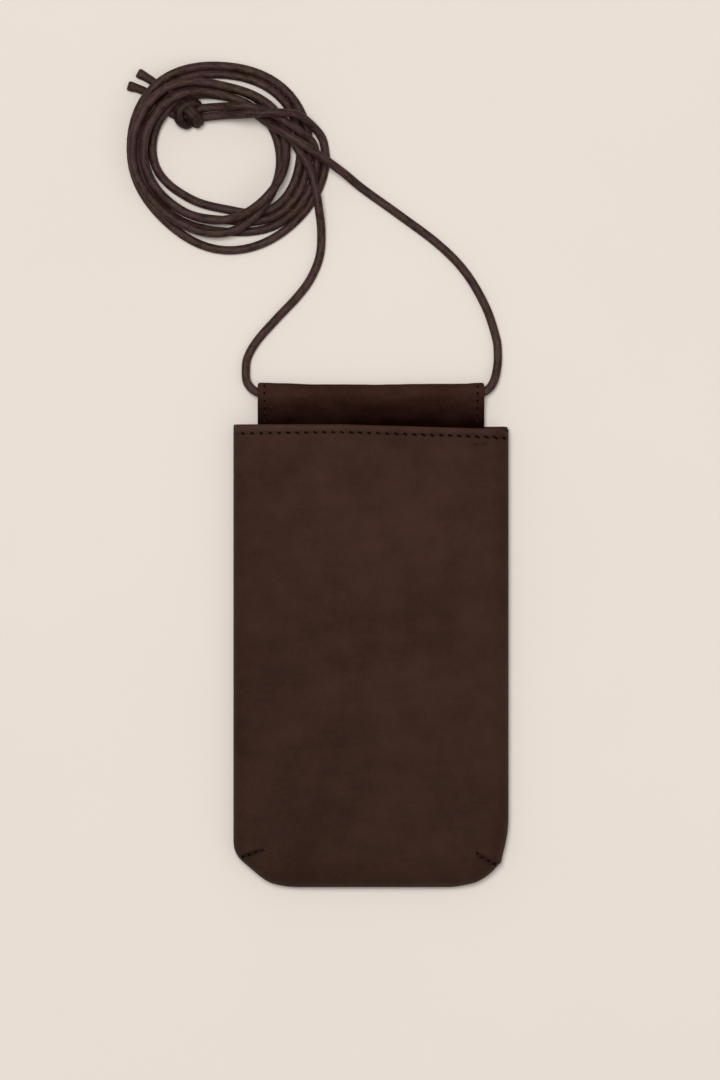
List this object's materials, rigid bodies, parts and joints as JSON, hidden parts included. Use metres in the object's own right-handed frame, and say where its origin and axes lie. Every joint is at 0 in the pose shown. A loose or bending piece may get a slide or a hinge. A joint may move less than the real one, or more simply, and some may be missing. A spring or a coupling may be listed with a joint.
{
  "type": "phone pouch",
  "caption": "Flat leather pouch for a phone, open at the top, with a hanger tab that swings at the mouth and a long round cord wound into a loose coil.",
  "frame": {"origin": "centre of the pouch and its tab in plan, on the surface that the pouch's back lies on, without the cord", "axes": "+X to the right of the front, +Y from the bottom seam to the mouth, +Z out of the front"},
  "size_m": [0.1531, 0.3303, 0.0165],
  "materials": {
    "leather": "smooth matte dark brown leather",
    "tab_leather": "smooth matte dark brown leather, folded",
    "cord": "round dark brown leather cord with a faint lengthwise grain",
    "thread": "dark brown sewing thread"
  },
  "bodies": {
    "pouch": {"front_panel": "leather", "back_panel": "leather", "tab_anchor": "tab_leather", "left_lead": "cord", "right_lead": "cord", "left_coil": "cord", "right_coil": "cord", "knot": "cord", "left_tail": "cord", "right_tail": "cord"},
    "tab": {"hanger_tab": "tab_leather", "cord_in_tab": "cord"}
  },
  "joints": [
    {"name": "tab_hinge", "type": "hinge", "parent": "pouch", "child": "tab", "pos_m": [0, 0.086, 0.0034], "axis": [1, 0, 0], "range_deg": [-60, 70]}
  ]
}
